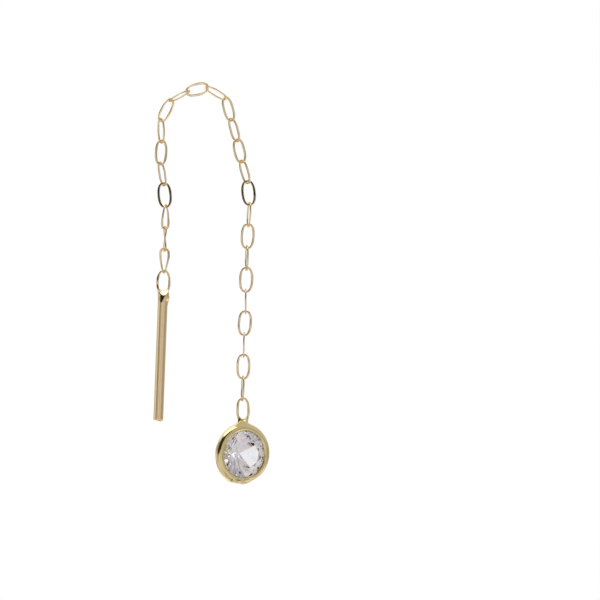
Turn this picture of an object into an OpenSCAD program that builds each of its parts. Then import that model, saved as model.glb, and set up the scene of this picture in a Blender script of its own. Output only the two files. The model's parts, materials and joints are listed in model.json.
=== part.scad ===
// Threader earring: a fine oval-link chain that is drawn through the ear lobe, with a round
// stone in a bezel hanging from its front end and a plain rod hanging from its back end.
// +Z is up, the chain's arch stands in the XZ plane, and the stone looks towards -Y.
// The origin is the middle of the crown link, which lies in the piercing of the lobe.

/* [Chain link] */
// Length of a link over its wire
link_length = 2.115; // [1.9:0.005:2.4]
// Width of a link over its wire
link_width = 1.195; // [1.05:0.005:1.35]
// Width of the flattened wire along a link's sides
side_wire = 0.2; // [0.14:0.005:0.22]
// Width of the flattened wire round a link's ends
end_wire = 0.15; // [0.11:0.005:0.16]
// Thickness of the flattened wire
wire_thickness = 0.13; // [0.1:0.005:0.15]
// Play between two wires that hook into each other
link_play = 0.03; // [0.03:0.005:0.06]
// Share of the wire's width that its worn edge takes on either side
wire_edge = 0.25; // [0.15:0.01:0.35]

/* [Eyes] */
// Height of the solder inside the lower end of an eye
solder_rise = 0.2; // [0.1:0.01:0.4]
// Turn of the rod's eye out of the arch's plane, about the vertical
rod_turn = -11; // [-30:1:30]
// Turn of the pendant out of the arch's plane, about the vertical
pendant_turn = 8; // [-30:1:30]

/* [Rod] */
// Diameter of the rod
rod_diameter = 0.8; // [0.7:0.01:1]
// Length of the rod, from its soldered top to its tip
rod_length = 10.7; // [6:0.1:30]
// Radius round the rod's tip and its top
rod_rounding = 0.12; // [0.05:0.01:0.2]
// Slant of the cut at the rod's tip
tip_slant = 12; // [0:1:20]

/* [Stone] */
// Diameter of the stone's girdle
stone_diameter = 4; // [3:0.1:6]
// Width of the table, as a share of the diameter
table_share = 0.57; // [0.5:0.01:0.65]
// Length of the pavilion's halves, as a share of the way from the girdle to the point
halves_share = 0.75; // [0.6:0.01:0.85]
// Thickness of the girdle
girdle_height = 0.08; // [0.05:0.01:0.15]
// Slope of the crown's main facets
crown_slope = 34; // [28:1:38]
// Slope of the pavilion's main facets
pavilion_slope = 41; // [38:1:44]
// Turn of the stone in its setting
stone_turn = 11; // [0:1:45]

/* [Bezel] */
// Play round the stone in its seat
stone_play = 0.03; // [0.02:0.005:0.05]
// Thickness of the bezel's wall round the girdle
bezel_wall = 0.495; // [0.35:0.005:0.7]
// How far the lip covers the edge of the stone
lip_cover = 0.1; // [0.06:0.01:0.2]
// Thickness of the lip at its inner edge
lip_edge = 0.06; // [0.04:0.01:0.12]
// Width of the lip's flat front
lip_width = 0.24; // [0.2:0.01:0.4]
// Depth of the lip's dip towards the stone
lip_dip = 0.08; // [0.02:0.01:0.15]
// Depth of the rounded shoulder behind the lip
shoulder_depth = 0.48; // [0.2:0.01:0.6]
// Taper of the setting behind the shoulder
setting_taper = 31; // [20:1:33]
// Width of the ledge that carries the stone
seat_width = 0.2; // [0.1:0.01:0.3]
// Thickness of the wall at the setting's open back
back_wall = 0.25; // [0.2:0.01:0.4]
// How far the setting reaches behind the stone's point
culet_cover = 0.06; // [0.02:0.01:0.3]
// Depth of the eye behind the front of the lip
eye_depth = 0.72; // [0.3:0.01:0.9]
// Height of the solder between the eye's opening and the bezel
solder_height = 0.34; // [0.25:0.01:0.6]
// Width of the solder under the eye
solder_width = 0.62; // [0.5:0.01:0.75]
// Width of the solder's foot inside the bezel's wall
solder_foot = 0.93; // [0.8:0.01:1.1]

/* [Hidden] */
// The drape of the chain, one row a link, from the rod's eye over the crown to the pendant.
// Lean is the link's angle from straight up towards +X, swing its angle out of the arch
// towards +Y, roll its turn about its own length and twist the bend from its start to its end.
LEAN = 0;
SWING = 1;
ROLL = 2;
TWIST = 3;
LINK_POSE = [
    [0, 0, 103, 28],
    [-1, 0, 67, 40],
    [-1, 0, 40, 25],
    [-5, 7, 144, 0],
    [-14, -7, 82, 0],
    [0, 0, 12, 0],
    [-4, 0, 90, 0],
    [28, 0, 24, 0],
    [64, 12, 92, 0],
    [80, 4, 16, 0],
    [120, -14, 74, 0],
    [162, -4, 150, 0],
    [162, 0, 84, 0],
    [163, 0, 152, 0],
    [162, 0, 87, 0],
    [174, -7, 34, 0],
    [179, 7, 106, 0],
    [181, 0, 17, 0],
    [179, 0, 103, 0],
    [180, 0, 18, 0],
    [178, 0, 112, 0],
    [182, 0, 23, 0],
    [179, 0, 113, 0],
    [179, 0, 24, 0],
    [180, 0, 104, 0]
];
link_count = len(LINK_POSE);
crown_link = 10;

// Sides of a link's outline, steps of a rounded profile and facets round the stone's table
outline_sides = 16;
arc_steps = 6;
facets = 8;
// Roundness of a link's outline, where 2 is an ellipse
fullness = 2.4;

pitch = link_length - 2 * end_wire - link_play;
eye_opening = link_length - 2 * end_wire - solder_rise;

stone_radius = stone_diameter / 2;
table_radius = stone_radius * table_share;
star_radius = (table_radius + stone_radius) / 2;
pavilion_radius = stone_radius * (1 - halves_share);
crown_height = (stone_radius - table_radius) * tan(crown_slope);
pavilion_depth = stone_radius * tan(pavilion_slope);

seat_radius = stone_radius + stone_play;
bezel_radius = seat_radius + bezel_wall;
lip_radius = stone_radius - lip_cover;
lip_under = -lip_dip - lip_edge;
crown_gap = stone_play / cos(crown_slope);
pavilion_gap = stone_play / cos(pavilion_slope);
girdle_top = lip_under - crown_gap - lip_cover * tan(crown_slope);
girdle_bottom = girdle_top - girdle_height;
culet = girdle_bottom - pavilion_depth;
setting_depth = -culet + culet_cover;
back_radius = bezel_radius - (setting_depth - shoulder_depth) * tan(setting_taper);
seat_bore = seat_radius - seat_width;
// Where the wall under the seat has thinned to the back wall
bore_end = shoulder_depth + (bezel_radius - seat_bore - back_wall) / tan(setting_taper);

function link_name(i) = str("chain_link_", i < 10 ? "0" : "", i);

function link_direction(i) =
    let (lean = LINK_POSE[i - 1][LEAN], swing = LINK_POSE[i - 1][SWING])
    [sin(lean) * cos(swing), sin(swing), cos(lean) * cos(swing)];

// Where the wires of link i and link i + 1 hook into each other, from the rod's eye on
function run_to(i) = i == 0 ? [0, 0, 0] : run_to(i - 1) + pitch * link_direction(i);
crown = (run_to(crown_link - 1) + run_to(crown_link)) / 2;
function joint(i) = run_to(i) - crown;

// A share of an oval's half width or length, fuller than an ellipse
function bow(v) = sign(v) * pow(abs(v), 2 / fullness);
// The outline's corners stand beside its ends, so its reach is widened to the full size
corner = bow(cos(180 / outline_sides));

// One corner of the wire's section, from the inner rim (0) to the outer rim (1)
function wire_point(angle, rim, side) =
    let (half_width = link_width / 2 - (1 - rim) * side_wire,
         half_length = link_length / 2 - (1 - rim) * end_wire)
    [half_width * bow(sin(angle)) / corner, side * wire_thickness / 2,
     half_length * bow(cos(angle)) / corner];

function twisted(p, twist) =
    let (turn = twist * p.z / link_length)
    [p.x * cos(turn) - p.y * sin(turn), p.x * sin(turn) + p.y * cos(turn), p.z];

// An oval link of flattened wire, its length along Z and its width along X
module oval_link(twist = 0) {
    section = [[0, 0], [wire_edge, 1], [1 - wire_edge, 1], [1, 0], [1 - wire_edge, -1],
               [wire_edge, -1]];
    rings = len(section);
    points = [
        for (k = [0:outline_sides - 1]) for (s = section)
            twisted(wire_point((k + 0.5) * 360 / outline_sides, s[0], s[1]), twist)
    ];
    function index(k, j) = (k % outline_sides) * rings + j % rings;
    faces = [
        for (k = [0:outline_sides - 1]) for (j = [0:rings - 1]) each [
            [index(k, j), index(k + 1, j), index(k + 1, j + 1)],
            [index(k, j), index(k + 1, j + 1), index(k, j + 1)]
        ]
    ];
    polyhedron(points, faces);
}

module chain_link(i) {
    pose = LINK_POSE[i - 1];
    color("burlywood")
        translate((joint(i - 1) + joint(i)) / 2)
            rotate([0, pose[LEAN], 0])
                rotate([-pose[SWING], 0, 0])
                    rotate([0, 0, pose[ROLL]])
                        oval_link(pose[TWIST]);
}

// An eye is a link soldered on by its lower end. Z = 0 is where the chain hooks into it.
module eye() {
    translate([0, 0, -pitch / 2])
        oval_link();
}

function arc(centre, radius, from, to) = [
    for (k = [0:arc_steps])
        let (angle = from + (to - from) * k / arc_steps)
        centre + radius * [cos(angle), sin(angle)]
];

module threader_bar() {
    radius = rod_diameter / 2;
    top = link_play / 2 - eye_opening;
    tip = top - rod_length;
    corner_x = radius - rod_rounding;
    color("burlywood")
        translate(joint(0))
            rotate([0, 0, rod_turn]) {
                eye();
                difference() {
                    rotate_extrude($fn = 48)
                        polygon(concat(
                            [[0, tip]],
                            arc([corner_x, tip + rod_rounding], rod_rounding, -90, 0),
                            arc([corner_x, top - rod_rounding], rod_rounding, 0, 90),
                            [[0, top]]
                        ));
                    translate([radius, 0, tip])
                        rotate([0, tip_slant, 0])
                            translate([-2 * rod_diameter, -rod_diameter, -rod_diameter])
                                cube([3 * rod_diameter, 2 * rod_diameter, rod_diameter]);
                }
            }
}

// Carries the setting and the stone from the pendant's eye: the stone's axis becomes Z
module in_pendant() {
    drop = eye_opening - link_play / 2 + solder_height + bezel_radius;
    translate(joint(link_count))
        rotate([0, 0, pendant_turn])
            translate([0, -eye_depth, -drop])
                rotate([90, 0, 0])
                    children();
}

module setting() {
    lip_corner = lip_radius + lip_width;
    rotate_extrude($fn = 96)
        polygon(concat(
            [[lip_radius, lip_under], [lip_radius, -lip_dip]],
            [for (k = [0:arc_steps])
                let (angle = 90 - 90 * k / arc_steps)
                [lip_corner + (bezel_radius - lip_corner) * cos(angle),
                 -shoulder_depth * (1 - sin(angle))]],
            [[back_radius, -setting_depth], [back_radius - back_wall, -setting_depth]],
            [[seat_bore, -bore_end],
             [seat_bore, girdle_bottom - pavilion_gap - seat_slip(seat_width)],
             [seat_radius, girdle_bottom - pavilion_gap - seat_slip(0)],
             [seat_radius, girdle_top + crown_gap - stone_play * tan(crown_slope)]]
        ));
}

// How far the ledge falls at a distance inside the seat, along the pavilion's slope
function seat_slip(inside) = (inside - stone_play) * tan(pavilion_slope);

module bezel() {
    reach = solder_height + bezel_radius;
    color("darkkhaki") {
        translate(joint(link_count))
            rotate([0, 0, pendant_turn])
                eye();
        in_pendant() {
            setting();
            // The solder that carries the eye on the setting's wall
            translate([0, reach, -eye_depth])
                rotate([90, 0, 0])
                    cylinder(d1 = solder_width, d2 = solder_foot, h = reach - seat_radius,
                             $fn = 48);
        }
    }
}

// A round brilliant: table, stars, kites and halves above the girdle, halves and mains below
module stone() {
    half_step = 180 / facets;
    star_z = girdle_top + (stone_radius - star_radius * cos(half_step)) * tan(crown_slope);
    main_z = girdle_bottom
        - (stone_radius - pavilion_radius * cos(half_step)) * tan(pavilion_slope);
    function ring(count, start, radius, z) = [
        for (k = [0:count - 1])
            let (angle = start + k * 360 / count)
            [radius * cos(angle), radius * sin(angle), z]
    ];
    points = concat(
        ring(facets, 0, table_radius, girdle_top + crown_height),
        ring(facets, half_step, star_radius, star_z),
        ring(2 * facets, 0, stone_radius, girdle_top),
        ring(2 * facets, 0, stone_radius, girdle_bottom),
        ring(facets, half_step, pavilion_radius, main_z),
        [[0, 0, culet]]
    );
    function table(k) = k % facets;
    function star(k) = facets + k % facets;
    function upper(k) = 2 * facets + k % (2 * facets);
    function lower(k) = 4 * facets + k % (2 * facets);
    function main(k) = 6 * facets + k % facets;
    point = 7 * facets;
    faces = concat(
        [[for (k = [facets - 1:-1:0]) table(k)]],
        [for (k = [0:facets - 1]) each [
            [table(k), table(k + 1), star(k)],
            [table(k + 1), star(k + 1), upper(2 * k + 2), star(k)],
            [star(k), upper(2 * k + 1), upper(2 * k)],
            [star(k), upper(2 * k + 2), upper(2 * k + 1)],
            [main(k), lower(2 * k), lower(2 * k + 1)],
            [main(k), lower(2 * k + 1), lower(2 * k + 2)],
            [main(k), lower(2 * k + 2), main(k + 1), point]
        ]],
        [for (k = [0:2 * facets - 1]) [upper(k), upper(k + 1), lower(k + 1), lower(k)]]
    );
    color("lavender")
        in_pendant()
            rotate([0, 0, stone_turn])
                polyhedron(points, faces);
}

for (i = [1:link_count])
    chain_link(i);
threader_bar();
bezel();
stone();
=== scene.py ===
import json
import math
import bmesh
import bpy
import numpy as np
from mathutils import Matrix, Vector


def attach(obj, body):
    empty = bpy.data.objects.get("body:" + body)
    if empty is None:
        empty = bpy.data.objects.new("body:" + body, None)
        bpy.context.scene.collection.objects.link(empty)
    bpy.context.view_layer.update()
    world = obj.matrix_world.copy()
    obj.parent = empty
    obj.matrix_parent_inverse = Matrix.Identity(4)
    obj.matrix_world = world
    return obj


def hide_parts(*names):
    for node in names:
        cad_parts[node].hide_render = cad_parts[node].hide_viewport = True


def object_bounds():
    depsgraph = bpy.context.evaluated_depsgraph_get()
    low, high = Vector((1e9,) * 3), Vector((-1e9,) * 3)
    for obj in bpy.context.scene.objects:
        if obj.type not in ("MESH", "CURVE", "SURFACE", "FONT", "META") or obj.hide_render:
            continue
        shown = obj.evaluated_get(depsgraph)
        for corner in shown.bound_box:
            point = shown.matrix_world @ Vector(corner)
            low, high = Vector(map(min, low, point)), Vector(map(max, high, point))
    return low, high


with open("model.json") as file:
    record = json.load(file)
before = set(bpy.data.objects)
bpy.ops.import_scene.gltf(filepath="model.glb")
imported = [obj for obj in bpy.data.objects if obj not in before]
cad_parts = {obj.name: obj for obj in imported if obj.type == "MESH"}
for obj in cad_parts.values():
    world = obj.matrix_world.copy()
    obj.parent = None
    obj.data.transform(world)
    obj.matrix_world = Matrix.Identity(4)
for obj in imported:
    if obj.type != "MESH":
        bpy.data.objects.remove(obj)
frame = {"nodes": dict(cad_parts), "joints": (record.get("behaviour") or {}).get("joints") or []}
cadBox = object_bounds()
mm = 0.001
weld = 1e-5 * mm  # corners closer than this become one
up = np.array([0.0, 0.0, 1.0])
print("frame loaded:", len(frame["nodes"]), "nodes")


# Small helpers

def unit(vector):
    return np.asarray(vector, float) / np.linalg.norm(vector)


def smoothStep(value, low, high):  # 0 up to low, 1 from high on, eased between
    t = np.clip((np.asarray(value, float) - low) / (high - low), 0, 1)
    return t * t * (3 - 2 * t)


def within(value, low, high, soft):  # 1 between low and high, eased to 0 at both
    return smoothStep(value, low, low + soft) * smoothStep(value, high, high - soft)


def hump(value, middle, width):  # a round bump of height 1
    return np.exp(-((np.asarray(value, float) - middle) / width) ** 2)


def fromAngle(turn, angle):  # how far a turn is past an angle, from -180 to 180 degrees
    return (turn - angle + 180) % 360 - 180


def waver(turn, waves):  # a sum of waves that reaches about 1
    total = sum(share * np.sin(count * turn + start) for count, share, start in waves)
    return total / sum(share for count, share, start in waves)


def bow(share, fullness):  # a share of an oval's half width, fuller than an ellipse
    return np.sign(share) * np.abs(share) ** (2 / fullness)


def frontOf(axis):  # the level direction square to an axis, on the camera's side
    return np.array([axis[1], -axis[0], 0])


def cadSpots(name):  # the different corners of a CAD node, in millimetres
    mesh = frame["nodes"][name].data
    spots = np.empty(len(mesh.vertices) * 3)
    mesh.vertices.foreach_get("co", spots)
    return np.unique(np.round(spots.reshape(-1, 3) / mm, decimals=5), axis=0)


def jointFrame(name):  # a hinge's place in millimetres and its axis
    joint = next(j for j in frame["joints"] if j["name"] == name)
    return np.array(joint["pos_m"]) / mm, unit(joint["axis"])


def tubeFaces(rings, spokes, loop):  # quads between rings of points, the last back to the first if loop
    faces = []
    for ring in range(rings if loop else rings - 1):
        here, there = ring * spokes, (ring + 1) % rings * spokes
        for spoke in range(spokes):
            after = (spoke + 1) % spokes
            faces.append((here + spoke, here + after, there + after, there + spoke))
    return faces


class Shell:  # gathers the points and faces of one piece, and at each point its mark of wear, which also places painted light on the chain's link ends and the collet's inside
    def __init__(self):
        self.points, self.faces, self.marks = [], [], []

    def tube(self, rings, loop=False, capEnd=False, marks=None):
        rings = np.asarray(rings, float)
        count, spokes = rings.shape[:2]
        first = len(self.points)
        self.points.extend(rings.reshape(-1, 3))
        self.marks.extend(np.zeros(count * spokes) if marks is None else np.asarray(marks).reshape(-1))
        self.faces.extend([tuple(first + k for k in face) for face in tubeFaces(count, spokes, loop)])
        if capEnd:
            last = first + (count - 1) * spokes
            middle = len(self.points)
            self.points.append(rings[-1].mean(axis=0))
            self.marks.append(self.marks[last])
            self.faces.extend((last + k, last + (k + 1) % spokes, middle) for k in range(spokes))

    def build(self, name, material, body, slot, *nodes):
        mesh = bpy.data.meshes.new(name)
        mesh.from_pydata([tuple(p * mm) for p in np.asarray(self.points)], [], self.faces)
        mark = mesh.attributes.new("worn", "FLOAT", "POINT")
        mark.data.foreach_set("value", np.asarray(self.marks, float))
        shape = bmesh.new()
        shape.from_mesh(mesh)
        bmesh.ops.remove_doubles(shape, verts=shape.verts, dist=weld)
        bmesh.ops.recalc_face_normals(shape, faces=shape.faces)
        shape.to_mesh(mesh)
        shape.free()
        mesh.polygons.foreach_set("use_smooth", [True] * len(mesh.polygons))
        mesh.materials.append(material)
        piece = bpy.data.objects.new(name, mesh)
        bpy.context.scene.collection.objects.link(piece)
        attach(piece, body)
        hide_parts(*nodes)


# Shader helpers

class Wire:  # one output of a node, so that shader maths reads as plain sums
    def __init__(self, shader, socket):
        self.shader, self.socket = shader, socket

    def maths(self, operation, *values):  # a number beside a vector counts for all three directions
        kind = "Math" if self.socket.type == "VALUE" else "VectorMath"
        if kind == "VectorMath":
            values = [(value,) * 3 if isinstance(value, (int, float)) else value for value in values]
        return self.shader.add(kind, {"operation": operation}, dict(enumerate(values)))

    def __add__(self, other):
        return self.maths("ADD", self, other)

    def __radd__(self, other):
        return self.maths("ADD", other, self)

    def __sub__(self, other):
        return self.maths("SUBTRACT", self, other)

    def __rsub__(self, other):
        return self.maths("SUBTRACT", other, self)

    def __mul__(self, other):
        return self.maths("MULTIPLY", self, other)

    def __rmul__(self, other):
        return self.maths("MULTIPLY", other, self)

    def __abs__(self):
        return self.maths("ABSOLUTE", self)


class Shader:  # the nodes of one material, or of the world
    def __init__(self, owner):
        owner.use_nodes = True
        self.nodes, self.links = owner.node_tree.nodes, owner.node_tree.links
        self.nodes.clear()

    def add(self, kind, settings=None, inputs=None, output=0):  # colours are given as red, green, blue
        node = self.nodes.new("ShaderNode" + kind)
        for key, value in (settings or {}).items():
            if key == "stops":
                ramp = node.color_ramp
                while len(ramp.elements) < len(value):
                    ramp.elements.new(1.0)
                for element, (spot, shade) in zip(ramp.elements, value):
                    element.position, element.color = spot, (*shade, 1.0)
            else:
                setattr(node, key, value)
        for key, value in (inputs or {}).items():
            socket = node.inputs[key]
            if isinstance(value, Wire):
                self.links.new(value.socket, socket)
            else:
                socket.default_value = (*value, 1.0) if socket.type == "RGBA" else value
        return Wire(self, node.outputs[output]) if node.outputs else node

    def eased(self, value, low, high, start=0.0, end=1.0):
        return self.add("MapRange", {"interpolation_type": "SMOOTHSTEP"}, {
            "Value": value, "From Min": low, "From Max": high, "To Min": start, "To Max": end})

    def mixed(self, factor, first, second):
        return self.add("Mix", {"data_type": "RGBA"}, {0: factor, 6: first, 7: second}, 2)

    def dot(self, vector, other):
        return self.add("VectorMath", {"operation": "DOT_PRODUCT"}, {0: vector, 1: tuple(other)}, "Value")

    def noise(self, place, scale, detail, rough=0.5):
        return self.add("TexNoise", {}, {
            "Vector": place, "Scale": scale, "Detail": detail, "Roughness": rough})

    def place(self, stretch=(1, 1, 1)):  # object coordinates in millimetres, stretched
        spot = self.add("TexCoord", output="Object")
        return spot * tuple(s / mm for s in stretch)


# Camera

camera = {
    "azimuth": -23, "elevation": 4, "roll": 2.2,  # degrees
    "distance": 1.5, "clip": (0.01, 10),  # metres
    "sensor": 36,  # millimetres
    "frame": 600, "pixelsPerMm": 12.25,  # the photograph's frame and scale
    "crownPixel": (197.21, 89.43),  # where the origin shows
}


def placeCamera(spec):
    turn, lift, roll = (math.radians(spec[key]) for key in ("azimuth", "elevation", "roll"))
    ahead = np.array([-math.sin(turn), math.cos(turn), 0])
    side = np.array([math.cos(turn), math.sin(turn), 0])
    forward = ahead * math.cos(lift) - up * math.sin(lift)
    top = up * math.cos(lift) + ahead * math.sin(lift)
    right = side * math.cos(roll) + top * math.sin(roll)
    above = top * math.cos(roll) - side * math.sin(roll)
    perMetre = spec["pixelsPerMm"] / mm
    half = spec["frame"] / 2
    centre = (right * (half - spec["crownPixel"][0]) - above * (half - spec["crownPixel"][1])) / perMetre
    data = bpy.data.cameras.new("camera")
    data.sensor_width = spec["sensor"]
    data.lens = spec["sensor"] * spec["distance"] / (spec["frame"] / perMetre)
    data.clip_start, data.clip_end = spec["clip"]
    viewer = bpy.data.objects.new("camera", data)
    bpy.context.scene.collection.objects.link(viewer)
    viewer.matrix_world = Matrix.Translation(Vector(centre - forward * spec["distance"])) @ Matrix(
        np.stack([right, above, -forward], axis=1).tolist()).to_4x4()
    bpy.context.scene.camera = viewer
    return right, above, -forward


seenRight, seenUp, seenNear = placeCamera(camera)
bpy.context.scene.view_settings.view_transform = "Standard"
print("camera placed")


# Studio light: a pale room with soft boxes and dark cards, seen only in the metal and the stone

studio = {
    "walls": (0.50, 0.465, 0.385),
    "stoneBack": (0.97, 0.98, 0.98),  # what the stone sees behind it
    "stoneFront": (0.76, 0.73, 0.81), "stoneShare": 0.5,  # the tone that it mixes into the room before it
    "meeting": 0.15,  # how softly the two meet, as a sine
    "sparks": [  # small lights that only the stone sees, with their radius, all in degrees
        {"az": 30, "el": 38, "size": 2, "light": (3.0, 3.0, 3.2)},
        {"az": -30, "el": -34, "size": 2, "light": (2.4, 2.4, 2.7)},
        {"az": 61, "el": -12, "size": 3, "light": (0.75, 1.0, 1.1)},
        {"az": 67, "el": -12, "size": 3, "light": (1.1, 1.05, 0.7)},
        {"az": 73, "el": -12, "size": 3, "light": (1.0, 0.62, 0.5)},
    ],
    "sparkEdge": (-0.003, 0.001),  # where a spark begins and is full, past the cosine of its radius
    "panels": {  # azimuth and elevation from the camera's side of the earring, and the soft edge, in degrees
        "floorGlow": {"az": (-200, 200), "el": (-95, -17), "soft": 8, "light": (0.68, 0.645, 0.575)},
        "backWallLeft": {"az": (-200, -112), "el": (14, 60), "soft": 12, "light": (0.80, 0.77, 0.66)},
        "backWallRight": {"az": (118, 200), "el": (14, 60), "soft": 12, "light": (0.66, 0.63, 0.55)},
        "leftWall": {"az": (-105, -68), "el": (0, 28), "soft": 9, "light": (0.42, 0.39, 0.32)},
        "rightWall": {"az": (71, 112), "el": (2, 45), "soft": 6, "light": (0.58, 0.55, 0.47)},
        "tableLeft": {"az": (-74, -32), "el": (-24, -4), "soft": 12, "light": (0.52, 0.465, 0.36)},
        "tableFront": {"az": (-23, 41), "el": (-24, -5), "soft": 16, "light": (0.74, 0.68, 0.62)},
        "tableMiddle": {"az": (5, 25), "el": (-17, -2), "soft": 5, "light": (0.56, 0.50, 0.45)},
        "tableRight": {"az": (60, 104), "el": (-12.5, 0), "soft": 6, "light": (0.38, 0.34, 0.27)},
        "softBox": {"az": (-82, 50), "el": (51, 95), "soft": 6, "light": (1.6, 1.58, 1.5)},
        "topLeft": {"az": (-200, -82), "el": (46, 95), "soft": 7, "light": (1.05, 1.02, 0.92)},
        "topRight": {"az": (52, 185), "el": (44, 95), "soft": 7, "light": (0.55, 0.53, 0.47)},
        "cardLeft": {"az": (-125, -74), "el": (-24, 4), "soft": 10, "light": (0.72, 0.67, 0.53)},
        "behindLeft": {"az": (-200, -107), "el": (-26, -12.5), "soft": 5, "light": (0.24, 0.21, 0.165)},
        "floorRight": {"az": (68, 130), "el": (-60, -18), "soft": 8, "light": (0.95, 0.90, 0.79)},
        "floorShade": {"az": (-10, 125), "el": (-95, -47), "soft": 8, "light": (0.43, 0.39, 0.315)},
        "windowLeft": {"az": (-105, -64), "el": (33, 50), "soft": 6, "light": (1.05, 1.0, 0.86)},
        "lowLamp": {"az": (-178, -124), "el": (-64, -36), "soft": 8, "light": (1.2, 1.17, 1.05)},
        "darkCard": {"az": (-66, -9), "el": (-4.5, 14), "soft": 3, "light": (0.025, 0.025, 0.02)},
        "darkCardRight": {"az": (-14, 7), "el": (0, 14), "soft": 3, "light": (0.025, 0.025, 0.02)},
        "ceiling": {"az": (-62, 14), "el": (12, 47), "soft": 4, "light": (0.03, 0.03, 0.018)},
        "ceilingEdge": {"az": (-12, 36), "el": (27, 47), "soft": 5, "light": (0.04, 0.04, 0.02)},
    },
}


def lightStudio(spec):
    world = bpy.data.worlds.new("studio")
    bpy.context.scene.world = world
    air = Shader(world)
    ray = air.add("TexCoord", output="Generated")
    across, above, near = (air.dot(ray, axis) for axis in (seenRight, seenUp, seenNear))
    az = air.add("Math", {"operation": "ARCTAN2"}, {0: across, 1: near}) * math.degrees(1)
    el = air.add("Math", {"operation": "ARCSINE"}, {0: above}) * math.degrees(1)
    light = spec["walls"]
    for panel in spec["panels"].values():
        soft = panel["soft"] / 2
        mask = 1.0
        for value, (low, high) in ((az, panel["az"]), (el, panel["el"])):
            mask = mask * air.eased(value, low - soft, low + soft)
            mask = mask * (1 - air.eased(value, high - soft, high + soft))
        light = air.mixed(mask, light, panel["light"])
    evened = air.mixed(spec["stoneShare"], light, spec["stoneFront"])
    for spark in spec["sparks"]:
        turn, lift = math.radians(spark["az"]), math.radians(spark["el"])
        level = seenRight * math.sin(turn) + seenNear * math.cos(turn)
        edge = math.cos(math.radians(spark["size"]))
        low, high = (edge + past for past in spec["sparkEdge"])
        inside = air.eased(air.dot(ray, level * math.cos(lift) + seenUp * math.sin(lift)), low, high)
        evened = air.mixed(inside, evened, spark["light"])
    behind = 1 - air.eased(near, -spec["meeting"], spec["meeting"])
    stoneView = air.mixed(behind, evened, spec["stoneBack"])
    light = air.mixed(air.add("LightPath", output="Is Transmission Ray"), light, stoneView)
    room = air.add("Background", {}, {"Color": light, "Strength": 1.0})
    paper = air.add("Background", {}, {"Color": (1, 1, 1), "Strength": 1.0})
    seen = air.add("LightPath", output="Is Camera Ray")
    both = air.add("MixShader", {}, {0: seen, 1: room, 2: paper})
    air.add("OutputWorld", {}, {"Surface": both})


floorPaper = {"size": 8.0, "below": 0.012}  # metres: its width, and how far it lies under the earring


def layFloor(spec):
    edge = spec["size"] / 2
    height = cadBox[0].z - spec["below"]
    corners = [(x, y, height) for x, y in ((-edge, -edge), (edge, -edge), (edge, edge), (-edge, edge))]
    mesh = bpy.data.meshes.new("floor")
    mesh.from_pydata(corners, [], [(0, 1, 2, 3)])
    material = bpy.data.materials.new("whitePaper")
    paper = Shader(material)
    white = paper.add("Emission", {}, {"Color": (1, 1, 1), "Strength": 1.0})
    paper.add("OutputMaterial", {}, {"Surface": white})
    mesh.materials.append(material)
    floor = bpy.data.objects.new("floor", mesh)
    bpy.context.scene.collection.objects.link(floor)
    floor.visible_glossy = floor.visible_transmission = floor.visible_diffuse = False


lightStudio(studio)
layFloor(floorPaper)
print("studio lit")


# Gold and stone

plainGold = {"grain": (1, 1, 1), "wornRough": 0.02}  # stretch of the scratches, roughness of a worn edge
finishes = {
    # the chain's colour for worn ends is a deeper amber: partly wear, partly painted light bounced between
    # links where they meet
    "chainGold": {**plainGold, "base": (0.94, 0.82, 0.66), "warm": (0.93, 0.78, 0.57), "rough": (0.08, 0.16),
                  "scratch": 0.04, "ripple": 4, "worn": (0.92, 0.70, 0.38)},
    "rodGold": {**plainGold, "base": (0.94, 0.80, 0.55), "warm": (0.95, 0.76, 0.54), "rough": (0.08, 0.15),
                "scratch": 0.06, "ripple": 3, "worn": (0.95, 0.78, 0.45), "grain": (1, 1, 0.06)},
    "bezelGold": {**plainGold, "base": (0.91, 0.79, 0.50), "warm": (0.91, 0.765, 0.45), "rough": (0.08, 0.18),
                  "scratch": 0.05, "ripple": 16, "worn": (0.90, 0.79, 0.48), "wornRough": 0.12,
                  "paintedGlow": (0.22, 0.20, 0.19)},  # painted light: a glow on the collet's inside, for light that the stone spills there
}
surfaceDetail = {  # noises are a scale per millimetre, detail and roughness
    "cloud": (1.3, 3.0), "cloudEdges": (0.35, 0.65),  # slow drift from the base to the warm tone
    "smear": (4.0, 3.0), "smearEdges": (0.3, 0.7),  # patches that are polished more or less
    "scratches": (26.0, 4.0, 0.6), "ripple": (1.7, 1.0), "height": 0.02 * mm,  # fine and large unevenness
    "darkSpotTone": (0.36, 0.29, 0.15), "darkSpotEdges": (1.1, 2.0),  # darker brown spots near the dents, and the marks where they begin and are full
    "inside": (0.98, 0.92, 0.86), "insideEdges": (-0.4, -1.0),  # the collet's pale inside
    "insideRough": 0.25,
}


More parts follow.
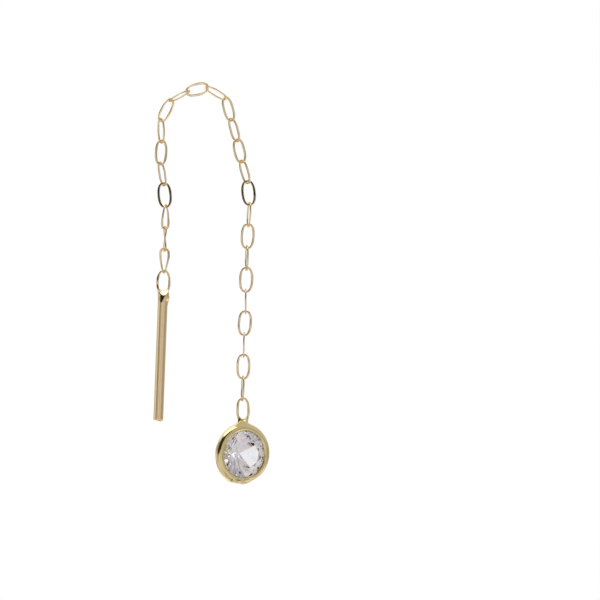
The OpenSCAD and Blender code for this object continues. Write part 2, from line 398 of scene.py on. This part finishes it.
def goldFinish(name, spec, detail):
    # the attribute read here is 1 at a worn edge; on the chain's link ends the colour there is a deeper amber
    # that also paints light bounced between links. It is more at darker brown spots, and under 0 on the
    # collet's inside, which also gets a painted glow
    material = bpy.data.materials.new(name)
    metal = Shader(material)
    place = metal.place(spec["grain"])
    cloud = metal.noise(metal.place(), *detail["cloud"])
    worn = metal.add("Attribute", {"attribute_name": "worn"}, output="Fac")
    inside = metal.eased(worn, *detail["insideEdges"])
    tone = metal.mixed(metal.eased(cloud, *detail["cloudEdges"]), spec["base"], spec["warm"])
    # worn edges take their colour here; on the chain's link ends this also paints the amber of light bounced
    # between links
    tone = metal.mixed(worn, tone, spec["worn"])
    tone = metal.mixed(metal.eased(worn, *detail["darkSpotEdges"]), tone, detail["darkSpotTone"])
    tone = metal.mixed(worn * -1, tone, detail["inside"])
    rough = metal.eased(metal.noise(place, *detail["smear"]), *detail["smearEdges"], *spec["rough"])
    rough = rough + abs(worn) * spec["wornRough"] + inside * detail["insideRough"]
    scratches = metal.noise(place, *detail["scratches"])
    scratches = scratches + metal.noise(place, *detail["ripple"]) * spec["ripple"]
    normal = metal.add("Bump", {}, {
        "Strength": spec["scratch"], "Distance": detail["height"], "Height": scratches})
    sockets = {"Metallic": 1.0, "Base Color": tone, "Roughness": rough, "Normal": normal}
    # painted light: the collet's inside glows where the stone would spill light on it
    if "paintedGlow" in spec:
        sockets["Emission Color"] = metal.mixed(inside, (0, 0, 0), spec["paintedGlow"])
        sockets["Emission Strength"] = 1.0
    metal.add("OutputMaterial", {}, {"Surface": metal.add("BsdfPrincipled", {}, sockets)})
    return material


gold = {name: goldFinish(name, spec, surfaceDetail) for name, spec in finishes.items()}


facets = {
    "ior": 1.80,
    "cells": 6, "seed": 0.37,  # how finely a facet's direction picks its painted tint, and from where
    # painted reflections: the tints for a chance of 0 to 1, pale pastels and a darker grey that stand in for
    # what the clear stone reflects
    "paintedTints": [(0.0, (1.0, 1.0, 1.0)), (0.4, (0.97, 0.97, 1.0)), (0.62, (0.84, 0.83, 0.90)),
              (0.78, (0.98, 0.91, 0.88)), (1.0, (0.90, 0.90, 0.97))],
}


def cutStone(spec):
    material = bpy.data.materials.new("clearStone")
    glass = Shader(material)
    # painted reflection and shade: each facet takes a tint by its direction, for reflected colour and darker
    # facets in the clear stone
    facet = glass.add("TexCoord", output="Normal") * spec["cells"] + spec["seed"]
    facet = glass.add("VectorMath", {"operation": "FLOOR"}, {0: facet})
    chance = glass.add("TexWhiteNoise", {"noise_dimensions": "3D"}, {"Vector": facet})
    paintedTint = glass.add("ValToRGB", {"stops": spec["paintedTints"]}, {"Fac": chance})
    surface = glass.add("BsdfPrincipled", {}, {
        "Base Color": paintedTint, "Roughness": 0.0, "IOR": spec["ior"], "Transmission Weight": 1.0})
    glass.add("OutputMaterial", {}, {"Surface": surface})
    stone = frame["nodes"]["stone"]
    stone.data.materials.clear()
    stone.data.materials.append(material)


cutStone(facets)
print("finishes made")


# Chain links: finer copies of the CAD links, from the frame of each one's own corners

link = {
    "fullness": 2.4, "section": 3.6,  # roundness of the outline and of the wire, where 2 is an ellipse
    "around": 72, "across": 14,  # corners along the wire and round it
    "thin": 0.93,  # of the CAD wire's thickness
    "seam": 0.06, "seamWidth": 0.03,  # the solder bead on one side, as shares of the wire and of a turn
    "seamAt": 80, "seamStep": 17, "seamSteps": 3,  # its place in degrees, and its shift over three links
    "wave": 0.005, "waves": 7,  # how far the wire wavers from its plane, in millimetres, and how often
    "waveShift": 7,  # how much faster than the seam the waves go round from link to link
    "wearAndPaintedBounceEnds": (0.72, 0.98),  # where along a link its ends begin to wear and are fully worn; there the chain also gets painted amber for light bounced between links
    "middle": 0.3,  # the share of a link's half size that is measured as its middle
}
squareLinks = (4, 16)  # two links with flatter faces
squareShape = {"section": 7.0, "wave": 0}
linkCharacter = {  # twist in degrees, egg, which widens the end at the next link, and waist, which narrows it
    1: {"twist": 28, "egg": 0.25}, 2: {"twist": 40, "waist": 0.1}, 3: {"twist": 25, "egg": -0.1},
    18: {"waist": 0.045}, 20: {"waist": 0.022}, 22: {"waist": 0.035}, 24: {"waist": 0.045},
}
linkRoll = {  # how far a link has rolled about its own length, degrees
    5: 13, 7: 4.5, 8: -3.25, 10: 4, 11: -3.75, 12: 7.5, 13: -8.5, 14: 12, 15: -9.25, 17: -5.75,
}


def ownAxes(spots):  # length, width and thickness directions
    centred = spots - spots.mean(axis=0)
    return np.linalg.eigh(centred.T @ centred)[1].T[::-1]


def measureLink(name, middle):  # half sizes and the wire's width at the sides and ends, in millimetres
    spots = cadSpots(name)
    centred = np.abs((spots - spots.mean(axis=0)) @ ownAxes(spots).T)
    length, width, thickness = centred.max(axis=0)
    sideBand = centred[centred[:, 0] < middle * length]
    endBand = centred[centred[:, 1] < middle * width]
    return {"length": length, "width": width, "thickness": thickness,
            "sideWire": width - sideBand[:, 1].min(), "endWire": length - endBand[:, 0].min()}


linkSize = measureLink("chain_link_10", link["middle"])  # all links have the same size


def ovalRings(centre, along, wide, size, spec, twist=0.0, egg=0.0, waist=0.0, cup=0.0):
    through = np.cross(along, wide)
    turn = np.linspace(0, 2 * np.pi, spec["around"], endpoint=False)[:, None]
    spoke = np.linspace(0, 2 * np.pi, spec["across"], endpoint=False)[None, :]
    gap = np.abs(fromAngle(np.degrees(turn), spec["seamAt"])) / 360
    bead = 1 + spec["seam"] * hump(gap, 0, spec["seamWidth"])
    rim = 0.5 + 0.5 * bow(np.cos(spoke), spec["section"]) * bead  # 0 at the inner rim, 1 at the outer
    depth = size["thickness"] * spec["thin"] * bow(np.sin(spoke), spec["section"]) * bead
    halfWidth = size["width"] - (1 - rim) * size["sideWire"]
    halfLength = size["length"] - (1 - rim) * size["endWire"]
    x = halfWidth * bow(np.sin(turn), spec["fullness"])
    z = halfLength * bow(np.cos(turn), spec["fullness"])
    phase = math.radians(spec["seamAt"] * spec["waveShift"])
    depth = depth + spec["wave"] * np.sin(spec["waves"] * turn + phase) + cup * x ** 2
    share = z / size["length"]
    x = x * (1 + egg * share - waist * (1 - share ** 2))
    bend = np.radians(twist) * share / 2
    x, y = x * np.cos(bend) - depth * np.sin(bend), x * np.sin(bend) + depth * np.cos(bend)
    return centre + x[..., None] * wide + y[..., None] * through + z[..., None] * along


def wearAndPaintedBounceEnds(spec):  # the wear of each corner of a link, which also places the painted amber of light bounced between links
    reach = np.abs(np.cos(np.linspace(0, 2 * np.pi, spec["around"], endpoint=False)))
    return np.repeat(smoothStep(reach, *spec["wearAndPaintedBounceEnds"]), spec["across"])


def makeChain(spec):
    names = sorted(name for name in frame["nodes"] if name.startswith("chain_link_"))
    middles = [cadSpots(name).mean(axis=0) for name in names]
    for k, name in enumerate(names):
        number = k + 1
        along, wide, _ = ownAxes(cadSpots(name))
        chainWay = middles[min(k + 1, len(names) - 1)] - middles[max(k - 1, 0)]
        along = along * np.sign(along @ chainWay)
        wide = wide * np.sign(wide @ seenRight)
        roll = math.radians(linkRoll.get(number, 0))
        wide = wide * math.cos(roll) + np.cross(along, wide) * math.sin(roll)
        shape = {**spec, **(squareShape if number in squareLinks else {}),
                 "seamAt": spec["seamAt"] + spec["seamStep"] * (k % spec["seamSteps"])}
        piece = Shell()
        piece.tube(ovalRings(middles[k], along, wide, linkSize, shape, **linkCharacter.get(number, {})),
                   loop=True, marks=wearAndPaintedBounceEnds(spec))
        piece.build("link" + name[-2:], gold["chainGold"], "chain", "gold", name)


makeChain(link)
print("chain made")


# Eyes: the links soldered on the rod and on the pendant

eye = {**link, "section": 2.6, "thin": 1.0, "wave": 0.012, "waves": 8, "seamAt": 180}
solder = {"halfEye": 0.34, "curve": 2.1}  # half the eye's opening in millimetres, the power of the climb


def eyeRings(node, hinge, axis, lean=0.0, wider=1.0, aside=0.0, yaw=0.0, tip=0.0, cup=0.0,
             fullness=eye["fullness"]):
    # its top leans left by lean and back by tip, and it faces left by yaw, all in degrees
    # wider is a share of the link's width, aside its shift to the right, and cup bends its sides back
    turn, lift = math.radians(yaw), math.radians(lean)
    axis = axis * math.cos(turn) + frontOf(axis) * math.sin(turn)
    along = up * math.cos(lift) - axis * math.sin(lift)
    wide = axis * math.cos(lift) + up * math.sin(lift)
    along = unit(along - frontOf(axis) * math.tan(math.radians(tip)))
    top = np.array([hinge[0], hinge[1], cadSpots(node)[:, 2].max()]) + aside * axis
    size = {**linkSize, "width": linkSize["width"] * wider}
    return ovalRings(top - along * size["length"], along, wide, size, {**eye, "fullness": fullness}, cup=cup)


def solderTop(node, fill):  # height of the solder that fills the lower end of a node's eye
    return cadSpots(node)[:, 2].max() - 2 * linkSize["length"] + linkSize["endWire"] + fill


def meniscus(x, climb):  # how far the solder in an eye's lower end climbs its sides
    return climb * (np.abs(x) / solder["halfEye"]) ** solder["curve"]


# Rod: round wire, flattened towards its eye and filled with solder, cut slanting at the tip

rod = {
    "around": 72,
    "neckEnd": 1.4, "neckStep": 0.03,  # close rings down to here from the top
    "tipStart": 0.5, "tipStep": 0.05, "middleStep": 0.35,  # close rings from here on, and those between
    "straight": 1.0,  # the plain stretch above the tip, where the radius is measured
    "slant": 13, "slantStart": 0.6,  # the tip's cut in degrees, and how far up it begins
    "tipDown": 0.05,  # how far the rounded tip runs on past the CAD tip
    "rounding": (0.17, 0.11), "roundSteps": 7,  # of the tip's edge, and how much more of it at the right
    "tipFace": (0.66, 0.33),  # rings on the tip's flat face, as shares of its radius
    "fill": 0.26, "climb": 0.13, "climbEnd": 0.9,  # the solder in the eye, how far it climbs, where that ends
    "neck": [  # depth below the solder's top, half width and half depth as shares of the radius
        (0.0, 0.80, 0.0), (0.03, 0.90, 0.12), (0.07, 0.98, 0.19), (0.13, 1.03, 0.29), (0.2, 1.05, 0.44),
        (0.28, 1.05, 0.62), (0.36, 1.04, 0.78), (0.42, 1.04, 0.86), (0.5, 1.03, 0.915), (0.58, 1.02, 0.95),
        (0.68, 1.01, 0.975), (0.76, 1.0, 0.985), (0.84, 1.0, 0.99), (0.95, 1.0, 1.0)],
    "square": 2.5, "squareEnds": (0.1, 0.5),  # how much squarer than round the neck is, and where that fades
    "neckTurn": 0.2, "turnEnds": (0.5, 0.9),  # how far the neck faces the left, and where that fades
    "beadHeight": 0.30,  # of a bead of solder on the neck, as a share of the radius
    "beadDown": (0.70, 0.34), "beadStart": 0.35,  # its middle and width down the neck, and where it is full
    "beadSide": 24, "beadWidth": 34,  # its middle and width round the neck, degrees
    "eye": {"tip": 3, "cup": 0.28, "fullness": 2.1},
}


def makeRod(spec):
    hinge, axis = jointFrame("bar_swing")
    front = frontOf(axis)
    spots = cadSpots("threader_bar")
    body = spots[spots[:, 2] < spots[:, 2].min() + spec["straight"]]
    radius = (body @ axis).max() - hinge @ axis
    top = solderTop("threader_bar", spec["fill"])
    length = top - spots[:, 2].min() + spec["tipDown"]
    tipStart = length - spec["tipStart"]
    turn = np.linspace(0, 2 * np.pi, spec["around"], endpoint=False)
    neck = np.array(spec["neck"])
    rings = []

    def ring(depth, shareWide, shareDeep, shrink=1.0):
        bead = spec["beadHeight"] * hump(depth, *spec["beadDown"]) * smoothStep(depth, 0, spec["beadStart"])
        bead = bead * hump(fromAngle(np.degrees(turn), spec["beadSide"]), 0, spec["beadWidth"])
        square = 2 + spec["square"] * (1 - smoothStep(depth, *spec["squareEnds"]))
        x = radius * shareWide * (bow(np.cos(turn), square) * shrink + bead)
        tilt = spec["neckTurn"] * (1 - smoothStep(depth, *spec["turnEnds"]))
        y = radius * shareDeep * bow(np.sin(turn), square) * shrink + tilt * x
        slope = math.tan(math.radians(spec["slant"])) * smoothStep(depth, length - spec["slantStart"], length)
        climb = meniscus(x, spec["climb"]) * (1 - smoothStep(depth, 0, spec["climbEnd"]))
        z = top - depth + slope * (radius - x) + climb
        return hinge * [1, 1, 0] + x[:, None] * axis + y[:, None] * front + z[:, None] * up

    neckDepths = np.arange(0, spec["neckEnd"], spec["neckStep"])
    middleDepths = np.arange(spec["neckEnd"], tipStart, spec["middleStep"])
    tipDepths = tipStart + np.arange(0, spec["tipStart"] - sum(spec["rounding"]), spec["tipStep"])
    for depth in np.concatenate([neckDepths, middleDepths, tipDepths]):
        wide, deep = (np.interp(depth, neck[:, 0], neck[:, k]) for k in (1, 2))
        rings.append(ring(depth, wide, deep))
    corner = spec["rounding"][0] + spec["rounding"][1] * np.cos(turn)
    for angle in np.radians(np.linspace(0, 90, spec["roundSteps"])):
        inset = 1 - corner / radius * (1 - math.cos(angle))
        rings.append(ring(length - corner * (1 - math.sin(angle)), 1, 1, inset))
    for shrink in spec["tipFace"]:
        rings.append(ring(length, 1, 1, inset * shrink))
    piece = Shell()
    piece.tube(rings, capEnd=True)
    piece.tube(eyeRings("threader_bar", hinge, axis, **spec["eye"]), loop=True)
    piece.build("threaderRod", gold["rodGold"], "bar", "gold", "threader_bar")


makeRod(rod)
print("rod made")


# Setting: a turned collet with a rubbed-over lip, and the eye soldered on its top
# Millimetres: radii are from its middle, and heights are 0 at the face and under 0 towards the back

setting = {
    "around": 300, "topCrowd": 90, "crowdAngle": 26,  # steps round the ring, and closer ones under the eye
    "bodyHeight": 3, "reach": 2.6,  # the part of the node, and the radius in it, that hold no eye
    "lipZone": -0.2, "boreZone": -0.8, "close": 0.01,  # where the CAD lip and bore are found, and how near
    "seatBore": 1.83, "boreMiddle": -0.7,  # the bore under the seat, and the height where it turns pale
    "seatRadius": 2.03, "seatTop": -0.23, "seatLow": -0.34, "ledgeDrop": 0.13,  # where the stone's edge lies
    "lipUnder": -0.14, "lipBevel": (0.01, 0.015), "lipNose": (0.008, 0.02),  # the lip's underside and edges
    "lipCrest": 2.12, "lipRound": 2.4,  # the crest's radius, and the curve of the dip to the stone
    "lipShares": (0.1, 1, 14), "wallShares": (0.04, 0.97, 24),  # first, last and number of its steps
    "shoulderAngles": (86, 0, 34),  # and the same round the shoulder, in degrees
    "crestWear": (1.1, 1.5),  # the angles there between which the lip's wear begins, in radians
    "backEdge": 0.01, "backFlat": (0.05, 0.03),  # bevels of the open back, outside and inside
    "outerFrom": (2.15, 2.4), "outerHeight": (-1.6, -0.5),  # where the outline's wavering fades in
    "innerFrom": (2.12, 1.95), "innerHeight": (-0.13, -0.09),  # and the lip's edge's
    "topHeight": (-0.2, -0.05),  # and the face's
    "lipWaves": [(9, 1.0, 0.6), (14, 0.7, 2.1), (23, 0.5, 4.0)],  # waves in a turn, share and start of each
    "slowWaves": [(3, 1.0, 1.0), (5, 0.6, 2.6)],
    "lipWaver": 0.022, "ringWaver": 0.012,  # how far they move the lip's edge and the outline
    "rise": (0.010, 0.020),  # and the face, by the slow waves and by the lip's
    "flats": [(-62, 16, 0.10), (-100, 9, 0.05), (244, 3, -0.02)],  # angle and width in degrees, and depth
    "notch": {"angle": 247, "soft": 1.5, "middle": 258, "width": 16, "deep": 0.05},  # a one-sided flat
    "dents": [  # angle and width in degrees, depth, and the radii between which each one lies
        (250, 2.5, 0.09, 2.1, 2.5), (261, 4, 0.08, 2.2, 2.55), (272, 2.5, -0.07, 2.0, 2.3),
        (290, 5, 0.05, 2.05, 2.4), (230, 6, 0.03, 2.1, 2.5), (62, 8, 0.025, 2.0, 2.4)],
    "darkSpots": [(243, 2.5, 0.95, 2.22, 2.55), (257, 7, 0.7, 2.1, 2.45)],  # darker brown spots: angle and width in degrees, how dark, and the radii between which each one lies
    "dentSoft": 0.1, "darkSpotSoft": 0.08, "darkSpotHeight": (-0.5, -0.4),  # how softly they end, and how far back
    "eye": {"lean": 3.0, "wider": 0.95, "aside": 0.04, "yaw": 14},
    "eyeDepth": 0.72,  # how far the eye's middle lies behind the face
    "fill": 0.2, "climb": 0.2, "climbEnd": 0.4,  # the solder in the eye, how far it climbs, where that ends
    "flare": (0.60, 0.40), "flareDepth": (0.34, 0.30),  # the solder's reach left and right, forwards and back
    "flareHeight": 0.414, "flareRound": 1.5,  # how high it climbs, and how steeply it falls off
    "flareFrom": (2.0, 2.3), "flareWear": (0.01, 0.05),  # radii where it begins, heights that hide the wear
    "neckAround": 48, "neckRound": 1.4,  # corners round it, and its section, which is edged under 2
    "ridge": 0.10,  # how far its front and back edges lie to the right
    "neckShift": 0.15, "shiftEnds": (0.2, 0.6), "shiftLoss": 0.5,  # to the right, and where half of it fades
    "spreadSide": (0.3, -1),  # cosines between which the flare to the left begins
    "neck": [  # depth below the solder's top, half width, half depth and the flare to the left
        (0, 0.33, 0.0, 0), (0.03, 0.38, 0.14, 0), (0.07, 0.42, 0.21, 0), (0.12, 0.44, 0.25, 0),
        (0.2, 0.45, 0.31, 0.01), (0.3, 0.46, 0.37, 0.04), (0.4, 0.48, 0.44, 0.10), (0.5, 0.52, 0.50, 0.20),
        (0.62, 0.60, 0.56, 0.35)],
}


def measureSetting(spec, spots, axis, front, hinge):  # the CAD setting's place and sizes
    body = spots[spots[:, 2] < spots[:, 2].min() + spec["bodyHeight"]]
    found = {"radius": ((body @ axis).max() - (body @ axis).min()) / 2}
    face = (spots @ front).max()
    found["depth"] = face - (spots @ front).min()
    found["centre"] = axis * (hinge @ axis) + front * face + up * (spots[:, 2].min() + found["radius"])
    offset = spots - found["centre"]
    height = offset @ front
    radius = np.hypot(offset @ axis, offset[:, 2])
    ring = radius < spec["reach"]
    radius, height = radius[ring], height[ring]

    def heightAt(wanted, zone=True):
        return height[(np.abs(radius - wanted) < spec["close"]) & zone].max()

    back = height < height.min() + spec["close"]
    found["backOuter"], found["backInner"] = radius[back].max(), radius[back].min()
    found["lipInner"] = radius[height > spec["lipZone"]].min()
    found["lipDip"] = heightAt(found["lipInner"])
    found["shoulder"] = -heightAt(radius.max())
    found["boreEnd"] = heightAt(spec["seatBore"], height < spec["boreZone"])
    return found


def settingProfile(spec):  # radius, height and wear, from the seat over the lip to the open back
    inner, dip, crest = spec["lipInner"], spec["lipDip"], spec["lipCrest"]
    radius, shoulder, depth = spec["radius"], spec["shoulder"], spec["depth"]
    points = [(spec["seatBore"], spec["seatLow"] - spec["ledgeDrop"], -1),
              (spec["seatRadius"], spec["seatLow"], -1), (spec["seatRadius"], spec["seatTop"], -1),
              (inner + spec["lipBevel"][0], spec["lipUnder"], -1),
              (inner, spec["lipUnder"] + spec["lipBevel"][1], -0.5),
              (inner, dip - spec["lipNose"][1], 1), (inner + spec["lipNose"][0], dip, 1)]
    for share in np.linspace(*spec["lipShares"]):
        points.append((inner + (crest - inner) * share, dip * (1 - share) ** spec["lipRound"], 1))
    for angle in np.radians(np.linspace(*spec["shoulderAngles"])):
        points.append((crest + (radius - crest) * math.cos(angle), -shoulder * (1 - math.sin(angle)),
                       float(smoothStep(angle, *spec["crestWear"]))))
    for share in np.linspace(*spec["wallShares"]):
        points.append((radius + (spec["backOuter"] - radius) * share,
                       -shoulder + (shoulder - depth) * share, 0))
    outerFlat, innerFlat = spec["backFlat"]
    points += [(spec["backOuter"] - spec["backEdge"], -depth + spec["backEdge"], 0),
               (spec["backOuter"] - outerFlat, -depth, 0), (spec["backInner"] + innerFlat, -depth, 0),
               (spec["backInner"], -depth + innerFlat, 0),
               (spec["seatBore"], spec["boreEnd"], -0.5), (spec["seatBore"], spec["boreMiddle"], -1)]
    return np.array(points)


def wornRing(spec):  # the turned ring with its handmade outline, as right, up and near, and its wear
    crowd = np.linspace(-1, 1, spec["topCrowd"]) * spec["crowdAngle"]
    rest = np.linspace(spec["crowdAngle"], 360 - spec["crowdAngle"], spec["around"])[1:-1]
    theta = np.radians(90 + np.concatenate([crowd, rest]))[:, None]
    profile = settingProfile(spec)
    r, z, wear = (profile[:, k][None, :] + 0 * theta for k in range(3))

    def near(angle, width):
        return hump(fromAngle(np.degrees(theta), angle), 0, width)

    outer = smoothStep(r, *spec["outerFrom"]) * smoothStep(z, *spec["outerHeight"])
    inner = smoothStep(r, *spec["innerFrom"]) * smoothStep(z, *spec["innerHeight"])
    wave, slow = waver(theta, spec["lipWaves"]), waver(theta, spec["slowWaves"])
    r = r + inner * spec["lipWaver"] * (1 + wave) + outer * spec["ringWaver"] * slow
    z = z + smoothStep(z, *spec["topHeight"]) * (spec["rise"][0] * slow + spec["rise"][1] * wave * inner)
    for angle, width, deep in spec["flats"]:
        r = r - outer * deep * near(angle, width)
    notch = spec["notch"]
    step = smoothStep(fromAngle(np.degrees(theta), notch["angle"]), -notch["soft"], notch["soft"])
    r = r - outer * notch["deep"] * step * near(notch["middle"], notch["width"])
    for angle, width, deep, low, high in spec["dents"]:
        z = z - deep * near(angle, width) * within(r, low, high, spec["dentSoft"])
    # darker brown spots on the lower front, stored above 1 in the wear mark
    darkSpot = 0 * r
    for angle, width, dark, low, high in spec["darkSpots"]:
        darkSpot = darkSpot + dark * near(angle, width) * within(r, low, high, spec["darkSpotSoft"])
    darkSpot = darkSpot * smoothStep(z, *spec["darkSpotHeight"])

    # the solder flares from the neck over the shoulder, further on the left
    x, y = r * np.cos(theta), r * np.sin(theta)
    side = x / np.where(x < 0, *spec["flare"])
    back = (z + spec["eyeDepth"]) / np.where(z > -spec["eyeDepth"], *spec["flareDepth"])
    away = np.sqrt(side ** 2 + back ** 2)
    flare = spec["flareHeight"] * np.exp(-away ** spec["flareRound"]) * smoothStep(r, *spec["flareFrom"])
    flare = flare * (y > 0)
    return x, y + flare, z, wear * (1 - smoothStep(flare, *spec["flareWear"])) + 2 * darkSpot


def neckRings(spec, axis, front, neckTop):  # the solder under the eye
    turn = np.linspace(0, 2 * np.pi, spec["neckAround"], endpoint=False)
    rings = []
    for down, wide, deep, spread in spec["neck"]:
        x = wide * bow(np.cos(turn), spec["neckRound"]) + spec["ridge"] * np.abs(np.sin(turn))
        x = x - spread * smoothStep(np.cos(turn), *spec["spreadSide"])
        y = neckTop - down + meniscus(x, spec["climb"]) * (1 - smoothStep(down, 0, spec["climbEnd"]))
        x = x + spec["neckShift"] * (1 - spec["shiftLoss"] * smoothStep(down, *spec["shiftEnds"]))
        z = deep * bow(np.sin(turn), spec["neckRound"]) - spec["eyeDepth"]
        rings.append(spec["centre"] + x[:, None] * axis + y[:, None] * up + z[:, None] * front)
    return rings


def makeSetting(spec):
    hinge, axis = jointFrame("pendant_swing")
    front = frontOf(axis)
    spec = {**spec, **measureSetting(spec, cadSpots("bezel"), axis, front, hinge)}
    x, y, z, wear = wornRing(spec)
    piece = Shell()
    piece.tube(spec["centre"] + x[..., None] * axis + y[..., None] * up + z[..., None] * front,
               loop=True, marks=wear)
    neckTop = solderTop("bezel", spec["fill"]) - spec["centre"][2]
    piece.tube(neckRings(spec, axis, front, neckTop), capEnd=True)
    piece.tube(eyeRings("bezel", hinge, axis, **spec["eye"]), loop=True)
    piece.build("stoneSetting", gold["bezelGold"], "pendant", "gold", "bezel")


makeSetting(setting)
print("setting made")
